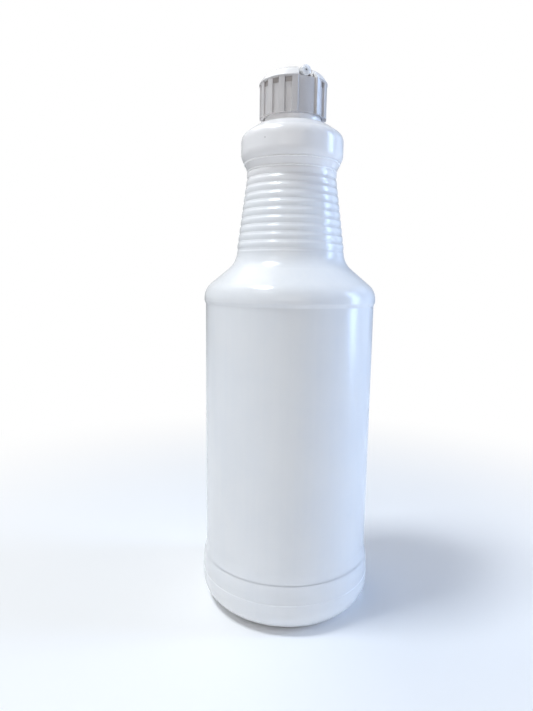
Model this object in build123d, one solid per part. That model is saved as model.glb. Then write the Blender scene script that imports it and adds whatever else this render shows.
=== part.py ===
from build123d import *
import math
import os

# Spotting bottle: a blown bottle with a ringed neck, a ribbed screw cap, and a pouring
# spout that swings up out of a slot in the cap.
# Millimetres and degrees. +Z is up, the origin is the centre of the ring that the bottle
# stands on, and the shut spout points to -Y.

# Bottle, base and heel
wall = 0.9
standing_ring = 6.4          # width of the flat ring it stands on
push_up = 3.5                # how far the middle of the base is pushed up
push_up_run = 9.0            # width of the slope round the pushed-up middle
push_up_round = 4.0
heel_swell = 1.5             # how far the heel stands out past the body
heel_round = 12.0
heel_height = 15.7
heel_ledge = 0.2             # step inwards on top of the heel
heel_ledge_rise = 0.35
heel_fade_start = 6.7        # from the ledge up to where the swell starts to fade
heel_fade = 5.4
heel_fade_round = 25.0

# Bottle, body and shoulder
body_radius = 42.0
body_height = 153.8          # up to the step under the shoulder
bead_step = 0.7              # how far the shoulder's edge stands out past the body
bead_rise = 1.8
bead_round = 1.0
shoulder_edge = 5.6          # upright stretch, before its upper corner is rounded
shoulder_round = 9.0
shoulder_angle = 40.0        # slope of the shoulder, from level

# Bottle, neck with its grip rings
neck_foot = 6.5              # from the shoulder's corner up to the lowest groove
neck_foot_round = 11.0
groove_count = 10
groove_pitch = 3.74
ring_bulge = 0.32            # how far each ring stands out between its grooves
neck_radius = 21.6           # at the top groove
neck_taper = 7.9             # from upright
top_ring = 3.3               # height of the last ring, under the collar

# Bottle, collar
flare_height = 3.6
flare_angle = 24.0           # from upright
flare_ledge = 0.2            # step inwards on top of the flare
flare_ledge_rise = 0.15
collar_radius = 24.8
collar_under_angle = 35.0    # from upright, where the flare turns into the collar
collar_under_round = 7.0
collar_height = 18.0         # from the flare up to the foot of the finish
collar_round = 5.0
collar_slope = 34.0          # from level, between the collar's side and its top
collar_crown = 3.6           # width of the collar's nearly level top
collar_crown_round = 6.0
collar_top_angle = 5.0       # slope of that top, from level
inner_throat_round = 2.0

# Bottle, finish (the part that the cap screws on)
bore_radius = 10.9
finish_wall = 1.7
thread_height = 1.1          # room that the screw thread takes outside the finish
stop_bead = 1.2              # how far the bead that guides the skirt stands out
stop_bead_height = 3.7
finish_height = 17.4         # from the collar's top to the lip
finish_round = 0.4

# Cap, skirt
thread_clearance = 0.3
skirt_wall = 1.1
skirt_lift = 2.9             # from the collar's top up to the skirt, over part of the bead
skirt_lead_in = 0.15
rib_positions = 16           # all but the front one hold a rib
rib_height = 1.0
rib_width = 3.0
rib_round = 0.28
rim_overhang = 0.25          # how far the rim stands out past the ribs
rim_edge = 0.5               # thickness of the rim at its outer edge
roof_rise = 0.7              # how much the roof over each flute slopes
rim_round = 0.35

# Cap, deck and dome
deck = 1.5                   # from the lip up to the rim
dome_side_rise = 3.1         # height of the dome's steep side
dome_side_run = 2.4
dome_side_round = 4.0
dome_height = 6.1
dome_top_radius = 8.0
dome_top_round = 12.0
dome_wall = 1.2
plug_depth = 2.5             # ring that dips into the bottle's bore
plug_wall = 0.9
plug_clearance = 0.1
front_notch = 0.4            # how far the front of the rim is cut below the rest
scoop_radius = 5.0           # hollow for the finger that lifts the spout
scoop_setback = 0.7          # from the panel out to the middle of that hollow

# Spout, and how it sits in the cap
barrel_radius = 3.1
barrel_length = 6.4
barrel_round = 0.2
barrel_cover = 0.1           # how far the barrel's top is below the dome's top
pin_radius = 1.1
pin_length = 0.8
tube_root_radius = 2.5
tube_tip_radius = 2.35
tube_bore_radius = 1.6
orifice_radius = 0.45        # the fine hole that the drops come out of
tip_wall = 1.2               # length of that hole
tip_setback = 2.6            # from the rim's edge in to the spout's tip
tip_round = 0.5
barrel_clearance = 0.08
barrel_end_gap = 0.1
pin_clearance = 0.05
pin_end_gap = 0.1
pin_end_wall = 0.8
pin_snap = 0.15              # how much each lead-in is narrower than the pin, per side
slot_gap = 0.3               # between the tube and its slot
cap_port_radius = 1.5


def tan(degrees):
    return math.tan(math.radians(degrees))


# Bottle: radii and heights that follow
heel_radius = body_radius + heel_swell
fade_radius = heel_radius - heel_ledge
stand_outer = heel_radius - heel_round
stand_inner = stand_outer - standing_ring
bead_radius = body_radius + bead_step
ledge_top = heel_height + heel_ledge_rise
fade_bottom = ledge_top + heel_fade_start
fade_top = fade_bottom + heel_fade
bead_bottom = body_height + bead_rise
shoulder_z = bead_bottom + shoulder_edge
groove_span = (groove_count - 1) * groove_pitch
foot_radius = neck_radius + (groove_span + neck_foot) * tan(neck_taper)
foot_z = shoulder_z + (bead_radius - foot_radius) * tan(shoulder_angle)
low_groove_z = foot_z + neck_foot
waist_z = low_groove_z + groove_span + top_ring
flare_radius = neck_radius + flare_height * tan(flare_angle)
flare_z = waist_z + flare_height
collar_low_z = flare_z + (collar_radius - flare_radius) / tan(collar_under_angle)
collar_top_z = flare_z + collar_height
root_radius = bore_radius + finish_wall
stop_radius = root_radius + stop_bead
stop_z = collar_top_z + stop_bead_height
lip_z = collar_top_z + finish_height
crown_radius = stop_radius + collar_crown

# Cap: radii and heights that follow
cap_bore_radius = root_radius + thread_height + thread_clearance
floor_radius = cap_bore_radius + skirt_wall
rib_radius = floor_radius + rib_height
rim_radius = rib_radius + rim_overhang
skirt_z = collar_top_z + skirt_lift
rim_z = lip_z + deck
roof_z = rim_z - rim_edge - roof_rise
dome_z = rim_z + dome_height
dome_line = [
    (rim_radius, rim_z, rim_round),
    (rim_radius - dome_side_run, rim_z + dome_side_rise, dome_side_round),
    (dome_top_radius, dome_z, dome_top_round),
    (0, dome_z, 0),
]
rib_step = 360 / rib_positions
front = -90.0
plug_radius = bore_radius - plug_clearance
pocket_radius = plug_radius - plug_wall
plug_z = lip_z - plug_depth

# Spout: places that follow
pivot_z = dome_z - barrel_cover - barrel_radius
tip_reach = rim_radius - tip_setback
socket_radius = barrel_radius + barrel_clearance
socket_half = barrel_length / 2 + barrel_end_gap
pin_hole_radius = pin_radius + pin_clearance
pin_hole_half = barrel_length / 2 + pin_length + pin_end_gap
socket_block_half = pin_hole_half + pin_end_wall
socket_block_z = pivot_z - socket_radius - dome_wall
slot_half = tube_root_radius + slot_gap
slot_z = pivot_z - tube_root_radius - slot_gap

on_its_base = (Align.CENTER, Align.CENTER, Align.MIN)


def collar_top_at(radius):
    """Height of the collar's sloping top at a radius."""
    return collar_top_z - (radius - stop_radius) * tan(collar_top_angle)


def corner_line(corners):
    """A line through (radius, height, rounding) corners; its two ends stay sharp."""
    points = [(radius, height) for radius, height, _ in corners]
    roundings = [rounding for _, _, rounding in corners[1:-1]]
    return FilletPolyline(*points, radius=roundings)


def moved_in(corners, thickness):
    """The inner corners of a line, moved in by a wall, with their roundings to match."""
    points = [Vector(radius, height) for radius, height, _ in corners]
    sides = [(b - a).normalized().rotate(Axis.Z, 90) for a, b in zip(points, points[1:])]
    inside = []
    for corner, point, before, after in zip(corners[1:-1], points[1:-1], sides, sides[1:]):
        moved = point + (before + after) * (thickness / (1 + before.dot(after)))
        turn = math.copysign(thickness, before.cross(after).Z)
        inside.append((moved.X, moved.Y, max(corner[2] - turn, 0)))
    return inside


def bottle():
    """The blown bottle, turned from one outline of its wall."""
    base = [
        (0, push_up, 0),
        (stand_inner - push_up_run, push_up, push_up_round),
        (stand_inner, 0, push_up_round),
        (heel_radius, 0, heel_round),
    ]
    ledge = [
        (heel_radius, heel_height, heel_ledge),
        (fade_radius, ledge_top, heel_ledge),
    ]
    body = [
        (fade_radius, fade_bottom, heel_fade_round),
        (body_radius, fade_top, heel_fade_round),
        (body_radius, body_height, bead_round),
        (bead_radius, bead_bottom, bead_round),
        (bead_radius, shoulder_z, shoulder_round),
        (foot_radius, foot_z, neck_foot_round),
    ]
    flare = [
        (neck_radius, waist_z, 0),
        (flare_radius, flare_z, flare_ledge / 2),
    ]
    flare_top = [(flare_radius - flare_ledge, flare_z + flare_ledge_rise, flare_ledge / 2)]
    crown_z = collar_top_at(crown_radius)
    collar = [
        (collar_radius, collar_low_z, collar_under_round),
        (collar_radius, crown_z - (collar_radius - crown_radius) * tan(collar_slope), collar_round),
        (crown_radius, crown_z, collar_crown_round),
        (stop_radius, collar_top_z, finish_round),
    ]
    finish = [
        (stop_radius, stop_z, finish_round),
        (root_radius, stop_z, finish_round),
        (root_radius, lip_z, finish_round),
        (bore_radius, lip_z, 0),
    ]
    grooves = [
        (neck_radius + k * groove_pitch * tan(neck_taper), low_groove_z + groove_span - k * groove_pitch)
        for k in reversed(range(groove_count))
    ]
    grooves.append((neck_radius, waist_z))
    throat_z = collar_top_at(bore_radius) - wall / math.cos(math.radians(collar_top_angle))
    inside = [(0, push_up + wall, 0)]
    inside += moved_in(base + body + flare + collar, wall)
    inside += [(bore_radius, throat_z, inner_throat_round), (bore_radius, lip_z, 0)]

    with BuildPart() as turned:
        with BuildSketch(Plane.XZ):
            with BuildLine():
                corner_line(base + ledge + body + [(*grooves[0], 0)])
                for low, high in zip(grooves, grooves[1:]):
                    SagittaArc(low, high, -ring_bulge)
                corner_line(flare + flare_top + collar + finish)
                corner_line(inside)
                Line((0, push_up), (0, push_up + wall))
            make_face()
        revolve(axis=Axis.Z)
    return turned.part


def disc(radius, bottom, top):
    """A round block about the bottle's axis."""
    return extrude(Pos(0, 0, bottom) * Circle(radius), top - bottom)


def block(half_x, y_low, y_high, z_low, z_high):
    """A block as wide to +X as to -X."""
    centre = ((y_low + y_high) / 2, (z_low + z_high) / 2)
    return Pos(0, *centre) * Box(2 * half_x, y_high - y_low, z_high - z_low)


def across(radius, half_length):
    """A round bar along the spout's hinge axis."""
    return Pos(0, 0, pivot_z) * Rot(0, 90, 0) * Cylinder(radius, 2 * half_length)


def ribs():
    """The section of every rib, with the front position left free."""
    bar = Pos(floor_radius, 0) * Rectangle(2 * rib_height, rib_width)
    angles = [front + (k + 1) * rib_step for k in range(rib_positions - 1)]
    return Sketch() + [Rot(0, 0, angle) * bar for angle in angles]


def skirt():
    """The ribbed skirt, open below, up to the underside of the rim's edge."""
    section = (Circle(floor_radius) + ribs()) & Circle(rib_radius)
    section = fillet(section.vertices(), rib_round)
    solid = extrude(Pos(0, 0, skirt_z) * section, rim_z - rim_edge - skirt_z)
    solid -= disc(cap_bore_radius, skirt_z, lip_z)
    lead_in = Cone(cap_bore_radius + skirt_lead_in, cap_bore_radius, skirt_lead_in, align=on_its_base)
    return solid - Pos(0, 0, skirt_z) * lead_in


def turned_solid(corners):
    """A solid of revolution whose outline runs through the corners and closes on the axis."""
    with BuildPart() as turned:
        with BuildSketch(Plane.XZ):
            with BuildLine():
                corner_line(corners)
                Line(corners[-1][:2], corners[0][:2])
            make_face()
        revolve(axis=Axis.Z)
    return turned.part


def dome_outside(bottom):
    """The rim and the dome over it, solid, down to a given height."""
    return turned_solid([
        (0, bottom, 0),
        (floor_radius, bottom, 0),
        (floor_radius, roof_z, 0),
        (rim_radius, rim_z - rim_edge, 0),
        *dome_line,
    ])


def dome_inside():
    """The hollow one wall inside the dome, less the ring that rests on the bottle's lip."""
    hollow = turned_solid([
        (0, lip_z, 0),
        (rim_radius - dome_wall, lip_z, 0),
        *moved_in([(rim_radius, lip_z, 0)] + dome_line, dome_wall),
        (0, dome_z - dome_wall, 0),
    ])
    hollow &= disc(cap_bore_radius, lip_z, dome_z)
    return hollow - (disc(root_radius, lip_z, dome_z) - disc(pocket_radius, lip_z, dome_z))


def front_panel():
    """What the rim loses over the smooth front panel, down to the front notch."""
    section = Circle(rim_radius + rib_height) - Circle(floor_radius) - ribs()
    reach = rim_radius * math.sin(math.radians(rib_step))
    section &= Pos(0, -rim_radius) * Rectangle(2 * reach, rim_radius)
    return extrude(Pos(0, 0, roof_z) * section, dome_height)


def finger_scoop():
    """The hollow under the spout's tip, as wide as the front panel."""
    scoop_z = rim_z - front_notch + scoop_radius
    half_width = floor_radius * math.sin(math.radians(rib_step)) - rib_width / 2
    bar = Rot(0, 90, 0) * Cylinder(scoop_radius, 2 * half_width)
    return Pos(0, -floor_radius - scoop_setback, scoop_z) * bar


def cap():
    """The moulded cap: skirt, deck, hollow dome with the spout's socket and slot, and plug."""
    above = dome_z + dome_height
    socket_back = socket_radius + dome_wall
    dome = dome_outside(lip_z) - dome_inside()
    socket_block = block(socket_block_half, -socket_back, socket_back, socket_block_z, dome_z)
    slot_block = block(slot_half + dome_wall, -floor_radius, 0, lip_z, dome_z)
    solid = skirt() + dome
    solid += (socket_block + slot_block) & dome_outside(min(socket_block_z, lip_z))
    solid += disc(plug_radius, plug_z, lip_z) - disc(pocket_radius, plug_z, lip_z)
    solid -= across(socket_radius, socket_half)
    solid -= block(socket_half, -socket_radius, socket_radius, pivot_z, above)
    solid -= across(pin_hole_radius, pin_hole_half)
    solid -= block(pin_hole_half, pin_snap - pin_radius, pin_radius - pin_snap, pivot_z, above)
    solid -= block(slot_half, -rim_radius - rib_height, 0, slot_z, above)
    solid -= front_panel()
    solid -= finger_scoop()
    solid -= Pos(0, 0, pivot_z - socket_radius) * Cylinder(cap_port_radius, 4 * dome_wall)
    return solid


def spout():
    """The swinging spout: a barrel on two pins, and a tube bored through to a fine hole."""
    barrel = across(barrel_radius, barrel_length / 2)
    barrel = fillet(barrel.edges().filter_by(GeomType.CIRCLE), barrel_round)
    pins = across(pin_radius, barrel_length / 2 + pin_length)
    tube = Cone(tube_root_radius, tube_tip_radius, tip_reach, align=on_its_base)
    tube = fillet(tube.edges().sort_by(Axis.Z)[-1], tip_round)
    bore = Pos(0, 0, -2 * barrel_radius) * Cylinder(
        tube_bore_radius, tip_reach - tip_wall + 2 * barrel_radius, align=on_its_base
    )
    bore += Cylinder(orifice_radius, tip_reach + tip_wall, align=on_its_base)
    along = Pos(0, 0, pivot_z) * Rot(90, 0, 0)
    return barrel + pins + along * tube - along * bore


os.makedirs("parts", exist_ok=True)
for name, make in (("bottle", bottle), ("cap", cap), ("spout", spout)):
    solid = make()
    solid.label = name
    export_step(solid, f"parts/{name}.step")
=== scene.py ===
# %% [markdown]
# # A white bottle with a screw cap and a swing spout
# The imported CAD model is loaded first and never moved: it gives every size and place. On the
# real object the bottle is one blown piece, and the cap and the spout are moulded pieces, so
# three solids come in. This lesson gives them their plastic, adds the screw threads and the
# lines left by the mould, and sets up the camera, the floor and the lights.

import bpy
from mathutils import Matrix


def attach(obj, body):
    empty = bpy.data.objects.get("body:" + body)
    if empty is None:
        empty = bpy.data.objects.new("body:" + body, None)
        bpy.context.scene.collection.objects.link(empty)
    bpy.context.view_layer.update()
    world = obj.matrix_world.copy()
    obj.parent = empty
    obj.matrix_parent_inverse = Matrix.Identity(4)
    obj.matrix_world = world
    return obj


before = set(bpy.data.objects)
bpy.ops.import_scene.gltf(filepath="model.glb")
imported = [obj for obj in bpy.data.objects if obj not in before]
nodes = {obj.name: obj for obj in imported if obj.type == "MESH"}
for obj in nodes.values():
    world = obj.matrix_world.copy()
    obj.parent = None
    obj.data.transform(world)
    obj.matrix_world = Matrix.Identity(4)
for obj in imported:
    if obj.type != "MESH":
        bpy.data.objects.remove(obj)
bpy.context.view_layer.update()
print("solids:", sorted(nodes))

# %% [markdown]
# ## The camera
# The photograph was taken from a little above the bottle's middle, close to it, with the wide
# lens of a phone. A wide lens close up makes the heel's ellipse open and the cap's nearly flat,
# so the place, the direction and the lens all have to be right together. The heading is
# measured from the back of the bottle, because the spout points to the front, and the slight
# roll is the hand's.

# %% Camera
import math

import bpy
from mathutils import Matrix, Vector

IMAGE_SIZE = (533, 711)
CAMERA_PLACE = Vector((-0.1170, -0.2453, 0.1665))
CAMERA_HEADING = math.radians(23.14)
CAMERA_DOWN = math.radians(8.21)
CAMERA_ROLL = math.radians(0.76)
FOCAL_PIXELS = 532.9
SENSOR = 36.0

ahead = Vector((math.sin(CAMERA_HEADING), math.cos(CAMERA_HEADING), 0))
picture_right = Vector((ahead.y, -ahead.x, 0))
forward = ahead * math.cos(CAMERA_DOWN) - Vector((0, 0, math.sin(CAMERA_DOWN)))
upward = picture_right.cross(forward)
roll = Matrix.Rotation(-CAMERA_ROLL, 3, forward)

bpy.ops.object.camera_add(location=CAMERA_PLACE)
camera = bpy.context.object
camera.name = "camera"
turn = Matrix((roll @ picture_right, roll @ upward, roll @ -forward)).transposed()
camera.rotation_euler = turn.to_euler()
camera.data.sensor_width = SENSOR
camera.data.lens = FOCAL_PIXELS * SENSOR / max(IMAGE_SIZE)
bpy.context.scene.camera = camera
bpy.context.scene.view_settings.view_transform = "Standard"
print("lens, mm:", round(camera.data.lens, 2))

# %% [markdown]
# ## Shader maths
# A finish is a chain of nodes. Written one by one they hide what is being worked out, so a
# small class wraps a socket and lets plain expressions such as `1 - mask * 0.5` add the Math
# nodes.

# %% Shader maths


class Wire:
    """A node's output, with the operators that add Math nodes."""

    def __init__(self, net, socket):
        self.net = net
        self.socket = socket

    def math(self, operation, *values):
        node = self.net.tree.nodes.new("ShaderNodeMath")
        node.operation = operation
        for place, value in enumerate(values):
            self.net.feed(node.inputs[place], value)
        return Wire(self.net, node.outputs[0])

    def __add__(self, other):
        return self.math("ADD", self, other)

    def __radd__(self, other):
        return self.math("ADD", other, self)

    def __sub__(self, other):
        return self.math("SUBTRACT", self, other)

    def __rsub__(self, other):
        return self.math("SUBTRACT", other, self)

    def __mul__(self, other):
        return self.math("MULTIPLY", self, other)

    def __rmul__(self, other):
        return self.math("MULTIPLY", other, self)

    def __truediv__(self, other):
        return self.math("DIVIDE", self, other)

    def __rtruediv__(self, other):
        return self.math("DIVIDE", other, self)

    def highest(self, other):
        return self.math("MAXIMUM", self, other)

    def lowest(self, other):
        return self.math("MINIMUM", self, other)

    def floor(self):
        return self.math("FLOOR", self)


print("operators ready")

# %% [markdown]
# ## The other nodes
# Every other node comes from one method that takes its type, its settings and what its
# sockets hold. The methods after it are the few nodes that the finishes use again and again.
# A noise runs mostly from 0.3 to 0.7, so the finishes spread about that span of each one.

# %% Nodes


class Net:
    """The nodes of one material or of the world."""

    def __init__(self, owner):
        owner.use_nodes = True
        self.owner = owner
        self.tree = owner.node_tree
        self.tree.nodes.clear()

    def feed(self, socket, value):
        if isinstance(value, Wire):
            self.tree.links.new(value.socket, socket)
        else:
            socket.default_value = value

    def add(self, kind, settings=None, sockets=None, out=0):
        node = self.tree.nodes.new(kind)
        for name, value in (settings or {}).items():
            setattr(node, name, value)
        for name, value in (sockets or {}).items():
            self.feed(node.inputs[name], value)
        return Wire(self, node.outputs[out])

    def place(self):
        """Where a point is on its piece, in metres."""
        return self.add("ShaderNodeTexCoord", out="Object")

    def along(self, vector, axis):
        return self.add("ShaderNodeSeparateXYZ", sockets={"Vector": vector}, out=axis)

    def vectors(self, operation, *values, out):
        return self.add("ShaderNodeVectorMath", {"operation": operation}, dict(enumerate(values)), out)

    def noise(self, vector, scale, detail=2.0):
        sockets = {"Vector": vector, "Scale": scale, "Detail": detail}
        return self.add("ShaderNodeTexNoise", sockets=sockets)

    def stretched(self, vector, scale):
        return self.add("ShaderNodeMapping", sockets={"Vector": vector, "Scale": scale})

    def spread(self, value, low, high, to_low=0.0, to_high=1.0):
        """Value taken from the span low to high onto to_low to to_high, eased at both ends."""
        settings = {"interpolation_type": "SMOOTHSTEP", "clamp": True}
        sockets = {"Value": value, "From Min": low, "From Max": high}
        sockets |= {"To Min": to_low, "To Max": to_high}
        return self.add("ShaderNodeMapRange", settings, sockets)

    def blend(self, factor, first, second):
        """A colour between two others. A Mix node's sockets 6 and 7 are its colours."""
        sockets = {0: factor, 6: first, 7: second}
        return self.add("ShaderNodeMix", {"data_type": "RGBA"}, sockets, out=2)

    def bump(self, height, strength, distance, under=None):
        sockets = {"Strength": strength, "Distance": distance, "Height": height}
        if under is not None:
            sockets["Normal"] = under
        return self.add("ShaderNodeBump", sockets=sockets)

    def shaders(self, factor, first, second):
        return self.add("ShaderNodeMixShader", sockets={0: factor, 1: first, 2: second})

    def finish(self, kind, surface):
        self.feed(self.tree.nodes.new(kind).inputs["Surface"], surface)
        return self.owner


def rgba(red, green, blue):
    return (red, green, blue, 1.0)


print("nodes ready")

# %% [markdown]
# ## The background and the world
# The photograph has a pure white background. A studio does it with a white sweep lit to
# white. Here the world shows white to the camera, and lights the object at a plain level
# otherwise. Reflections see that white dimmed, which keeps the edges of a white bottle from
# melting into the background.

# %% World
WORLD_LIGHT = 0.15
REFLECTED_WHITE = 0.40
WORLD_TINT = rgba(0.95, 0.97, 1.0)
WHITE = rgba(1, 1, 1)

world = bpy.data.worlds.new("studio")
bpy.context.scene.world = world
air = Net(world)
to_camera = air.add("ShaderNodeLightPath", out="Is Camera Ray")
to_gloss = air.add("ShaderNodeLightPath", out="Is Glossy Ray")
through = air.add("ShaderNodeLightPath", out="Is Transmission Ray")
seen_white = to_camera.highest(through).highest(to_gloss * REFLECTED_WHITE)
lit = air.add("ShaderNodeBackground", sockets={"Color": WORLD_TINT, "Strength": WORLD_LIGHT})
white = air.add("ShaderNodeBackground", sockets={"Color": WHITE, "Strength": 1.0})
air.finish("ShaderNodeOutputWorld", air.shaders(seen_white, lit, white))
print("world light:", WORLD_LIGHT)

# %% [markdown]
# ## The floor
# The bottle stands on a pale matte floor that takes its shadow. Further out the floor turns to
# plain white for the camera alone, so it runs into the background with no edge. A mask on the
# distance from the bottle does it, because a floor that ends in a curve would show its bend.

# %% Floor
FLOOR_SIZE = 60.0
FLOOR_COLOUR = rgba(0.92, 0.92, 0.92)
FLOOR_GRAIN_SCALE = 900.0
WHITE_STARTS = 0.09
WHITE_ALL = 0.40

bpy.ops.object.select_all(action="DESELECT")
bpy.ops.mesh.primitive_plane_add(size=FLOOR_SIZE, location=(0, 0, 0))
floor = bpy.context.object
floor.name = "floor"
paint = Net(bpy.data.materials.new("pale_floor"))
away = paint.vectors("LENGTH", paint.place(), out="Value")
beyond = paint.spread(away, WHITE_STARTS, WHITE_ALL)
seen = paint.add("ShaderNodeLightPath", out="Is Camera Ray")
grain = paint.spread(paint.noise(paint.place(), FLOOR_GRAIN_SCALE), 0.3, 0.7, 0.45, 0.6)
matte = paint.add("ShaderNodeBsdfPrincipled", sockets={"Base Color": FLOOR_COLOUR, "Roughness": grain})
glow = paint.add("ShaderNodeEmission", sockets={"Color": WHITE, "Strength": 1.0})
shown = paint.shaders(beyond * seen, matte, glow)
floor.data.materials.append(paint.finish("ShaderNodeOutputMaterial", shown))
print("floor", FLOOR_SIZE, "m across")

# %% [markdown]
# ## The lights
# The highlights in the photograph say where its light came from. A small strong lamp high on
# the left makes the short bright streaks on the rings of the neck. A narrow one stands lower
# and further round to the front. The broad white patch on the shoulder comes from a wide light
# high up behind the left side, and a wide weak one in front fills the shade. A cool, tall
# window stands at the right, with a weaker one further round to the back. Each lamp is placed
# by its direction as seen from the bottle: degrees to the picture's right of the camera, and
# degrees up.

# %% Lamps
LIT_POINT = Vector((0, 0, 0.17))


def direction(side, up):
    """The way to a lamp: side is turned from the camera to the picture's right."""
    flat = picture_right * math.sin(side) - ahead * math.cos(side)
    return flat * math.cos(up) + Vector((0, 0, math.sin(up)))


def softbox(name, side, up, distance, width, height, glow, colour):
    """A flat lamp of that size whose face glows that many times as bright as white."""
    aim = direction(math.radians(side), math.radians(up))
    bpy.ops.object.light_add(type="AREA", location=LIT_POINT + aim * distance)
    lamp = bpy.context.object
    lamp.name = name
    lamp.rotation_euler = aim.to_track_quat("Z", "Y").to_euler()
    lamp.data.shape = "RECTANGLE"
    lamp.data.size = width
    lamp.data.size_y = height
    lamp.data.energy = glow * math.pi * width * height
    lamp.data.color = colour
    share = glow * width * height / distance**2 / math.pi
    print(name, "adds", round(share, 2), "of white where it is faced")


softbox("lamp_key", -72, 65, 1.0, 0.24, 0.22, 44.0, (0.86, 0.93, 1.0))
softbox("lamp_front_left", -44, 42, 1.0, 0.34, 0.09, 8.0, (0.97, 0.98, 1.0))
softbox("lamp_high_left", -132, 58, 1.0, 0.80, 0.62, 1.7, (1.0, 0.98, 0.95))
softbox("lamp_front", -6, 12, 1.5, 1.30, 0.70, 1.35, (1.0, 0.98, 0.98))
softbox("window_right", 90, 8, 1.1, 0.28, 0.90, 11.0, (0.46, 0.65, 1.0))
softbox("window_back", 118, 12, 1.2, 0.70, 0.90, 1.1, (0.60, 0.74, 1.0))

# %% [markdown]
# ## The shader of every piece
# All three pieces are white plastic, and what tells them apart is their colour, their skin and
# how milky they are. So they share one shader, in which part of the light sinks in to a small
# depth and comes out again, as it does in a thin milky wall.

# %% Plastic shader
PLASTIC_IOR = 1.5
EVEN_DEPTH = (1.0, 1.0, 1.0)


def plastic(net, colour, roughness, normal, milky=0.0, depth=0.001):
    """White plastic. Milky is the share of the light that sinks in, to that depth."""
    sockets = {"Base Color": colour, "Roughness": roughness, "Normal": normal, "IOR": PLASTIC_IOR}
    sockets |= {"Subsurface Weight": milky, "Subsurface Radius": EVEN_DEPTH, "Subsurface Scale": depth}
    shader = net.add("ShaderNodeBsdfPrincipled", sockets=sockets)
    return net.finish("ShaderNodeOutputMaterial", shader)


print("refractive index of the plastic:", PLASTIC_IOR)

# %% [markdown]
# ## The lips under the grooves
# Below each groove of the neck the plastic rolls over a lip that catches the light. It is finer
# than the rings of the solid, so it is raised with a bump on top of them. The height below the
# top groove is folded into one pitch, which gives every groove the same lip.

# %% Neck lips
GROOVE_PITCH = 0.00374
TOP_GROOVE = 0.21439
LOW_GROOVE = 0.18073
LIP_START = 0.0008
LIP_WIDTH = 0.0007
LIP_HEIGHT = 0.0002
LIP_FADE = 0.0045


def neck_lips(net, height):
    """How far the lips stand out: a steep rise under each groove, then a long way back."""
    below = TOP_GROOVE - LIP_START - height
    under_groove = below - (below / GROOVE_PITCH).floor() * GROOVE_PITCH
    rise = under_groove / LIP_WIDTH
    fall = (GROOVE_PITCH - under_groove) / (GROOVE_PITCH - LIP_WIDTH)
    above_foot = net.spread(height, LOW_GROOVE - LIP_FADE, LOW_GROOVE - LIP_START - LIP_WIDTH)
    under_top = net.spread(height, TOP_GROOVE, TOP_GROOVE - LIP_START)
    return rise.lowest(fall) * above_foot * under_top


print("lips:", round((TOP_GROOVE - LOW_GROOVE) / GROOVE_PITCH) + 1)

# %% [markdown]
# ## The speck on the collar
# One dark speck, a scorched crumb caught in the plastic, sits on the left of the collar. It
# could be a tiny piece, but it lies in the skin, so it is a small round mask round one point.

# %% Speck
SPECK_PLACE = (-0.02035, -0.01412, 0.22935)
SPECK_SIZE = 0.00034
SPECK_COLOUR = rgba(0.30, 0.28, 0.28)


def speck_on(net, here, colour):
    gap = net.vectors("DISTANCE", here, SPECK_PLACE, out="Value")
    return net.blend(net.spread(gap, SPECK_SIZE, SPECK_SIZE / 3), colour, SPECK_COLOUR)


print("speck across, mm:", round(2000 * SPECK_SIZE, 2))

# %% [markdown]
# ## White blown polyethylene
# The bottle is natural white polyethylene blown against a lightly blasted mould. Its skin is
# satin, with a very fine grain, faint upright streaks from the stretched tube of hot plastic,
# and slow swells where the wall is thicker or thinner. The thick collar is a warmer white than
# the thin body. All of it is read in the object's own coordinates, in metres, so it stays in
# place from every side.

# %% Bottle finish
PE_WHITE = rgba(0.90, 0.915, 0.935)
PE_THIN = rgba(0.86, 0.885, 0.92)
PE_THICK = rgba(0.91, 0.89, 0.885)
PE_MILKY = 0.5
PE_DEPTH = 0.002
THICK_FROM = 0.206
THICK_TO = 0.224
THICK_UNEVEN = 0.01
SWELL_SCALE = 34.0
SWELL_RELIEF = 0.0009
STREAK_SCALE = 420.0
STREAK_STRETCH = (1.0, 1.0, 0.04)
PEEL_SCALE = 520.0
PEEL_RELIEF = 0.00015
GRAIN_SCALE = 2600.0
GRAIN_RELIEF = 0.00005


def blown_plastic():
    net = Net(bpy.data.materials.new("blown_polyethylene"))
    here = net.place()
    height = net.along(here, "Z")
    swell = net.noise(here, SWELL_SCALE, detail=3.0)
    streak = net.noise(net.stretched(here, STREAK_STRETCH), STREAK_SCALE, detail=3.0)
    peel = net.noise(here, PEEL_SCALE)
    grain = net.noise(here, GRAIN_SCALE)
    tint = net.spread(swell, 0.35, 0.68) * 0.7 + net.spread(streak, 0.35, 0.7) * 0.3
    thick = net.spread(height + swell * THICK_UNEVEN, THICK_FROM, THICK_TO)
    white = net.blend(thick, net.blend(tint, PE_WHITE, PE_THIN), PE_THICK)
    roughness = net.spread(swell, 0.3, 0.7, 0.15, 0.20) + net.spread(grain, 0.4, 0.7, 0.0, 0.05)
    ringed = net.bump(neck_lips(net, height), 1.0, LIP_HEIGHT)
    slow = net.bump(swell, 0.35, SWELL_RELIEF, ringed)
    middle = net.bump(streak * 0.4 + peel, 0.10, PEEL_RELIEF, slow)
    normal = net.bump(grain, 0.14, GRAIN_RELIEF, middle)
    return plastic(net, speck_on(net, here, white), roughness, normal, PE_MILKY, PE_DEPTH)


bottle_finish = blown_plastic()
print("made", bottle_finish.name)

# %% [markdown]
# ## The skin of a moulded piece
# The cap and the spout are moulded, which copies the tool's polish, so they are glossier and
# sharper than the bottle. Under the gloss there are slow flow marks, and fine scratches along
# the way in which the piece was pulled off its tool. Both pieces take them from one helper.

# %% Moulded skin
FLOW_SCALE = 90.0
FLOW_RELIEF = 0.0004
PULL_SCALE = 1500.0
PULL_STRETCH = (1.0, 1.0, 0.06)
SPARK_SCALE = 3800.0
PULL_RELIEF = 0.00004


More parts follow.
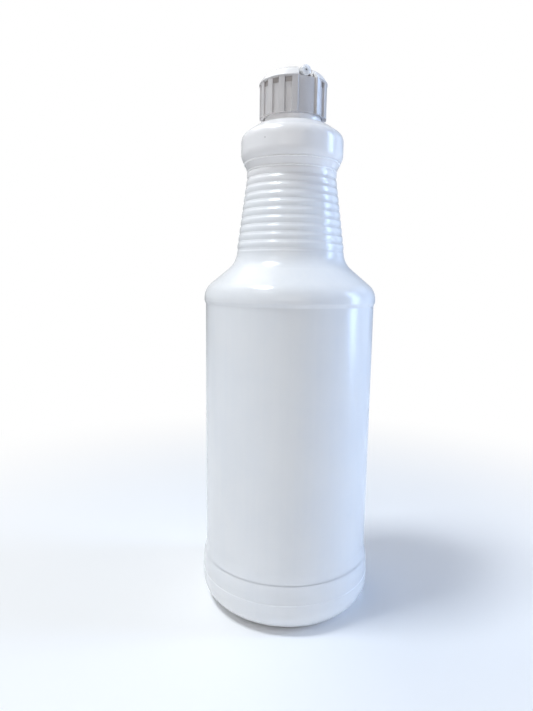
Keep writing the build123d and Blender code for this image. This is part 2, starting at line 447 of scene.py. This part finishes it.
def moulded(net, here, colour, rough, milky, depth):
    """The shine and the fine relief of a moulded piece, under the colour it is given."""
    flow = net.noise(here, FLOW_SCALE, detail=3.0)
    pull = net.noise(net.stretched(here, PULL_STRETCH), PULL_SCALE)
    spark = net.noise(here, SPARK_SCALE)
    roughness = net.spread(flow * 0.6 + spark * 0.4, 0.35, 0.65, *rough)
    slow = net.bump(flow, 0.15, FLOW_RELIEF)
    normal = net.bump(pull * 0.5 + spark, 0.10, PULL_RELIEF, slow)
    return plastic(net, colour, roughness, normal, milky, depth)


def mottled(net, here, first, second):
    flow = net.noise(here, FLOW_SCALE, detail=3.0)
    return net.blend(net.spread(flow, 0.35, 0.7), first, second)


print("flow marks, mm:", round(1000 / FLOW_SCALE, 1))

# %% [markdown]
# ## White moulded polypropylene of the cap
# The cap's skirt is greyer than its domed top, which is painted lighter as painted light from
# above, and a brown painted shadow of the rim's overhang lies in the flutes close under the rim.
# Both are masks on height and radius, so they stay on the cap from every side. The flat front
# panel has no flute, so the painted shadow keeps off it.

# %% Cap finish
PP_SKIRT = rgba(0.61, 0.585, 0.575)
PP_SKIRT_SHADE = rgba(0.56, 0.54, 0.54)
# Painted light: the top is a lighter white than the skirt because light from above falls on it.
PP_PAINTED_TOP_LIGHT = rgba(0.86, 0.845, 0.835)
CAP_ROUGH = (0.18, 0.30)
CAP_MILKY = 0.25
CAP_DEPTH = 0.0006
RIM_TOP = 0.2582
RIM_EDGE = 0.0005
# Painted shadow: this brown stands in for the shadow that the rim's overhang casts down the flutes.
PAINTED_SHADOW = rgba(0.36, 0.325, 0.305)
PAINTED_SHADOW_COVER = 0.9
PAINTED_SHADOW_HEIGHT = 0.0019
PAINTED_SHADOW_EDGE = 0.0003
PAINTED_SHADOW_SCALE = 900.0
FLUTE_ROOF = 0.2570
FLUTE_RADIUS = 0.0151
RIB_HEIGHT = 0.0010
PANEL_EDGE = -0.0143


def painted_shadow_mask(net, here, height):
    """Where the shadow is painted: deep in the flutes, close under the rim, off the front panel."""
    radius = net.vectors("LENGTH", net.vectors("MULTIPLY", here, (1, 1, 0), out="Vector"), out="Value")
    in_flute = net.spread(radius, FLUTE_RADIUS + RIB_HEIGHT * 0.7, FLUTE_RADIUS + RIB_HEIGHT * 0.3)
    uneven = net.noise(here, PAINTED_SHADOW_SCALE) * PAINTED_SHADOW_EDGE
    low = FLUTE_ROOF - PAINTED_SHADOW_HEIGHT
    under_rim = net.spread(height + uneven, low, low + PAINTED_SHADOW_EDGE)
    off_panel = net.spread(net.along(here, "Y"), PANEL_EDGE, PANEL_EDGE + RIM_EDGE)
    return in_flute * under_rim * off_panel


def cap_plastic():
    net = Net(bpy.data.materials.new("moulded_cap"))
    here = net.place()
    height = net.along(here, "Z")
    # The top is painted lighter, as painted light from above.
    lit_top = net.spread(height, RIM_TOP - RIM_EDGE * 0.8, RIM_TOP - RIM_EDGE * 0.2)
    # The painted shadow of the rim darkens the tops of the flutes, but not the lit top.
    shadowed = painted_shadow_mask(net, here, height) * (1 - lit_top) * PAINTED_SHADOW_COVER
    skirt = net.blend(shadowed, mottled(net, here, PP_SKIRT, PP_SKIRT_SHADE), PAINTED_SHADOW)
    colour = net.blend(lit_top, skirt, PP_PAINTED_TOP_LIGHT)
    return moulded(net, here, colour, CAP_ROUGH, CAP_MILKY, CAP_DEPTH)


cap_finish = cap_plastic()
print("made", cap_finish.name)

# %% [markdown]
# ## The spout's plastic, and each solid's finish
# The spout is the same kind of plastic, whiter, shinier and milkier than the cap. With it the
# three finishes are ready, and each goes onto its solid in place of the plain one.

# %% Spout finish
PP_SPOUT = rgba(0.92, 0.92, 0.92)
PP_SPOUT_SHADE = rgba(0.88, 0.88, 0.88)
SPOUT_ROUGH = (0.14, 0.24)
SPOUT_MILKY = 1.0
SPOUT_DEPTH = 0.003


def spout_plastic():
    net = Net(bpy.data.materials.new("moulded_spout"))
    here = net.place()
    colour = mottled(net, here, PP_SPOUT, PP_SPOUT_SHADE)
    return moulded(net, here, colour, SPOUT_ROUGH, SPOUT_MILKY, SPOUT_DEPTH)


finishes = {"bottle": bottle_finish, "cap": cap_finish, "spout": spout_plastic()}
for name, finish in finishes.items():
    nodes[name].data.materials.clear()
    nodes[name].data.materials.append(finish)
    print(name, "is now", finish.name)

# %% [markdown]
# ## Picking points by their place
# In the window a maker clicks the points to move. A script picks them by a test on their
# place, and the threads and the seam share this one helper for it.

# %% Picking helper


def select_where(mesh_object, test):
    """Selects the vertices that pass the test, in edit mode."""
    bpy.ops.object.mode_set(mode="EDIT")
    bpy.ops.mesh.select_mode(type="VERT")
    bpy.ops.mesh.select_all(action="DESELECT")
    bpy.ops.object.mode_set(mode="OBJECT")
    for vertex in mesh_object.data.vertices:
        vertex.select = test(vertex.co)
    bpy.ops.object.mode_set(mode="EDIT")


print("picking helper ready")

# %% [markdown]
# ## The screw threads
# A 28 mm neck carries one right-handed thread of about one and a half turns, with a pitch of
# 4.23 mm, and the cap carries its match half a pitch away. They could be cut with a boolean,
# but a thread is one small section carried round and up, which is just what the Screw
# modifier does. The section starts as a plane, its outer side is drawn in to the flank angle,
# and its two corners are rounded.

# %% Thread helper
THREAD_TURNS = 1.5
THREAD_PITCH = 0.00423
THREAD_STEPS = 64
THREAD_BASE = 0.0024
THREAD_CREST = 0.0012
THREAD_ROUND = 0.0003


def screw_thread(name, root, crest, bottom):
    """A ridge from the root radius out, or in, to the crest radius, climbing from bottom."""
    bpy.ops.object.select_all(action="DESELECT")
    depth = abs(crest - root)
    centre = ((root + crest) / 2, 0, bottom)
    bpy.ops.mesh.primitive_plane_add(size=1, location=centre, rotation=(math.pi / 2, 0, 0))
    thread = bpy.context.object
    thread.name = name
    thread.scale = (depth, THREAD_BASE, 1)
    bpy.ops.object.transform_apply(location=True, rotation=True, scale=True)
    select_where(thread, lambda co: abs(co.x - crest) < depth / 4)
    bpy.ops.transform.resize(value=(1, 1, THREAD_CREST / THREAD_BASE))
    bpy.ops.mesh.bevel(offset=THREAD_ROUND, segments=3, affect="VERTICES")
    bpy.ops.mesh.select_all(action="SELECT")
    bpy.ops.mesh.delete(type="ONLY_FACE")
    bpy.ops.object.mode_set(mode="OBJECT")
    screw = thread.modifiers.new("climb", "SCREW")
    screw.angle = 2 * math.pi * THREAD_TURNS
    screw.screw_offset = THREAD_PITCH * THREAD_TURNS
    screw.steps = screw.render_steps = int(THREAD_STEPS * THREAD_TURNS)
    screw.use_merge_vertices = False
    bpy.ops.object.modifier_apply(modifier=screw.name)
    return thread


print("thread climbs, mm:", round(1000 * THREAD_PITCH * THREAD_TURNS, 2))

# %% [markdown]
# ## The ends of a thread
# A real thread doesn't stop at full height: each end sinks back into its wall. So the last
# sections are shrunk, one by one, towards the point of the wall that they stand on. Then both
# ends are closed and the faces are turned outwards.

# %% Thread ends
THREAD_FADE = 8
MERGE = 1e-7
SMOOTH_UNDER = math.radians(40)


def close_ends(thread, root, bottom):
    """Sinks each end of the thread into its wall, closes it and turns the faces outwards."""
    step = 2 * math.pi / THREAD_STEPS
    reach = root * step / 3
    last = int(THREAD_STEPS * THREAD_TURNS)
    for ring in [*range(THREAD_FADE), *range(last - THREAD_FADE + 1, last + 1)]:
        angle = ring * step
        climb = bottom + THREAD_PITCH * ring / THREAD_STEPS
        place = Vector((root * math.cos(angle), root * math.sin(angle), climb))
        along = Vector((-math.sin(angle), math.cos(angle), 0))
        share = math.sin((min(ring, last - ring) + 1) / (THREAD_FADE + 1) * math.pi / 2)
        select_where(
            thread,
            lambda co: abs((co - place).dot(along)) < reach and (co - place).length < THREAD_BASE,
        )
        bpy.ops.transform.resize(value=(share, share, share), center_override=place)
    bpy.ops.mesh.select_all(action="DESELECT")
    bpy.ops.mesh.select_non_manifold()
    bpy.ops.mesh.edge_face_add()
    bpy.ops.mesh.select_all(action="SELECT")
    bpy.ops.mesh.remove_doubles(threshold=MERGE)
    bpy.ops.mesh.normals_make_consistent(inside=False)
    bpy.ops.object.mode_set(mode="OBJECT")
    bpy.ops.object.shade_smooth_by_angle(angle=SMOOTH_UNDER)


print("sections that fade at each end:", THREAD_FADE)

# %% [markdown]
# ## The thread on the neck
# It sits on the outside of the finish, between the guide bead and the lip, and its crest
# stays clear of the cap's wall.

# %% Neck thread
NECK_ROOT = 0.01255
NECK_CREST = 0.0137
NECK_THREAD_BOTTOM = 0.2472

neck_thread = screw_thread("neck_thread", NECK_ROOT, NECK_CREST, NECK_THREAD_BOTTOM)
close_ends(neck_thread, NECK_ROOT, NECK_THREAD_BOTTOM)
neck_thread.data.materials.append(bottle_finish)
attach(neck_thread, "bottle")
print("neck thread:", len(neck_thread.data.polygons), "faces")

# %% [markdown]
# ## The thread in the cap
# The cap's thread stands in from its bore, half a pitch away from the neck's, so the two lie
# in each other's gaps when the cap is screwed down. It shows when the cap is lifted off.

# %% Cap thread
CAP_ROOT = 0.01405
CAP_CREST = 0.01295
CAP_THREAD_BOTTOM = NECK_THREAD_BOTTOM - THREAD_PITCH / 2

cap_thread = screw_thread("cap_thread", CAP_ROOT, CAP_CREST, CAP_THREAD_BOTTOM)
close_ends(cap_thread, CAP_ROOT, CAP_THREAD_BOTTOM)
cap_thread.data.materials.append(cap_finish)
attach(cap_thread, "cap")
print("cap thread:", len(cap_thread.data.polygons), "faces")

# %% [markdown]
# ## Lines left by the mould
# A blown bottle keeps a fine raised line wherever two parts of its mould met: one up each side
# and across the pushed-up base, and a ring at the foot and at the top of the flare, where the
# neck insert sat. They could be drawn by hand, but they have to follow the bottle exactly. So
# a copy of the bottle's mesh, less its inner wall and its finish, is cut by a plane, and only
# the edges of the cut are kept.

# %% Cut helpers
SKIN_TOP = 0.2385
BASE_HEIGHT = 0.006
WELD = 1e-6
CUT_REACH = 1e-7


def outer_skin(name):
    """A copy of the bottle's mesh with its inner wall and its finish cut away."""
    bpy.ops.object.select_all(action="DESELECT")
    skin = bpy.data.objects.new(name, nodes["bottle"].data.copy())
    bpy.context.collection.objects.link(skin)
    bpy.context.view_layer.objects.active = skin
    skin.select_set(True)
    bpy.ops.object.mode_set(mode="EDIT")
    bpy.ops.mesh.select_all(action="SELECT")
    bpy.ops.mesh.remove_doubles(threshold=WELD)
    bpy.ops.mesh.select_mode(type="FACE")
    bpy.ops.mesh.select_all(action="DESELECT")
    bpy.ops.object.mode_set(mode="OBJECT")
    for face in skin.data.polygons:
        out = face.normal.x * face.center.x + face.normal.y * face.center.y
        under = face.center.z < BASE_HEIGHT and face.normal.z < 0
        face.select = face.center.z > SKIN_TOP or not (out > 0 or under)
    bpy.ops.object.mode_set(mode="EDIT")
    bpy.ops.mesh.delete(type="FACE")
    return skin


def cut_to_edges(skin, place, normal):
    """Leaves only the edges where the plane cuts the skin."""
    bpy.ops.mesh.select_all(action="SELECT")
    bpy.ops.mesh.bisect(
        plane_co=place, plane_no=normal, clear_inner=True, clear_outer=True, threshold=CUT_REACH
    )
    bpy.ops.object.mode_set(mode="OBJECT")
    print(skin.name, "edges:", len(skin.data.edges), "faces:", len(skin.data.polygons))


print("the skin ends at, mm:", round(1000 * SKIN_TOP, 1))

# %% [markdown]
# ## A ridge along the edges
# The edges become a curve, which can be given a fine round section with closed ends, and the
# curve becomes a mesh again. An edge that was moved or extruded by hand would need a direction
# at each point, which the curve works out by itself.

# %% Ridge helper
RIDGE_ROUNDNESS = 2


def raised_line(skin, section, finish):
    """What is left of the skin, which is only edges, made a fine round ridge."""
    bpy.ops.object.convert(target="CURVE")
    skin.data.bevel_depth = section
    skin.data.bevel_resolution = RIDGE_ROUNDNESS
    skin.data.use_fill_caps = True
    print(skin.name, "runs:", len(skin.data.splines))
    bpy.ops.object.convert(target="MESH")
    bpy.ops.object.mode_set(mode="EDIT")
    bpy.ops.mesh.select_all(action="SELECT")
    bpy.ops.mesh.remove_doubles(threshold=WELD)
    bpy.ops.mesh.normals_make_consistent(inside=False)
    bpy.ops.object.mode_set(mode="OBJECT")
    skin.data.materials.clear()
    skin.data.materials.append(finish)
    bpy.ops.object.shade_smooth()
    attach(skin, "bottle")
    print(skin.name, len(skin.data.polygons), "faces")


print("ridge helper ready")

# %% [markdown]
# ## The seam of the two mould halves
# The halves met in the plane that faces the camera, so the seam runs up the bottle's left and
# right edges in the picture. It stands out by a tenth of a millimetre, and it leaves out the
# ring that the bottle stands on, where it would lift the bottle off the floor. Points of the
# cut that nearly touch are merged first, because a ridge kinks on a very short edge.

# %% Mould seam
SEAM_SECTION = 0.00011
SEAM_LOW = 0.0004
SEAM_JOIN = 0.00002

seam = outer_skin("mould_seam")
cut_to_edges(seam, (0, 0, 0), ahead)
select_where(seam, lambda co: co.z < SEAM_LOW)
bpy.ops.mesh.delete(type="VERT")
bpy.ops.mesh.select_all(action="SELECT")
bpy.ops.mesh.remove_doubles(threshold=SEAM_JOIN)
bpy.ops.object.mode_set(mode="OBJECT")
raised_line(seam, SEAM_SECTION, bottle_finish)

# %% [markdown]
# ## The two rings of the neck insert
# These two lines are thicker than the seam and stand out. Their finish paints them paler than
# the wall, as a painted highlight, and makes them duller. So they have a finish of their own.

# %% Insert rings
RING_SECTION = 0.00040
RING_HEIGHTS = (0.22137, 0.21773)
# Painted highlight: this pale white stands in for the light that the ridges catch from above.
PAINTED_HIGHLIGHT_WHITE = rgba(0.97, 0.96, 0.95)
PATCH_SCALE = 1400.0
PATCH_RELIEF = 0.00003


def highlight_plastic():
    """The same plastic, duller on the ridge, with a painted highlight that makes it paler."""
    net = Net(bpy.data.materials.new("highlight_polyethylene"))
    patches = net.noise(net.place(), PATCH_SCALE, detail=3.0)
    # The ridge is painted paler in patches, as a painted highlight.
    colour = net.blend(net.spread(patches, 0.35, 0.7), PAINTED_HIGHLIGHT_WHITE, PE_THICK)
    roughness = net.spread(patches, 0.3, 0.7, 0.30, 0.45)
    return plastic(net, colour, roughness, net.bump(patches, 0.2, PATCH_RELIEF))


highlight_finish = highlight_plastic()
for number, height in enumerate(RING_HEIGHTS):
    ring = outer_skin(f"insert_line_{number}")
    cut_to_edges(ring, (0, 0, height), (0, 0, 1))
    raised_line(ring, RING_SECTION, highlight_finish)
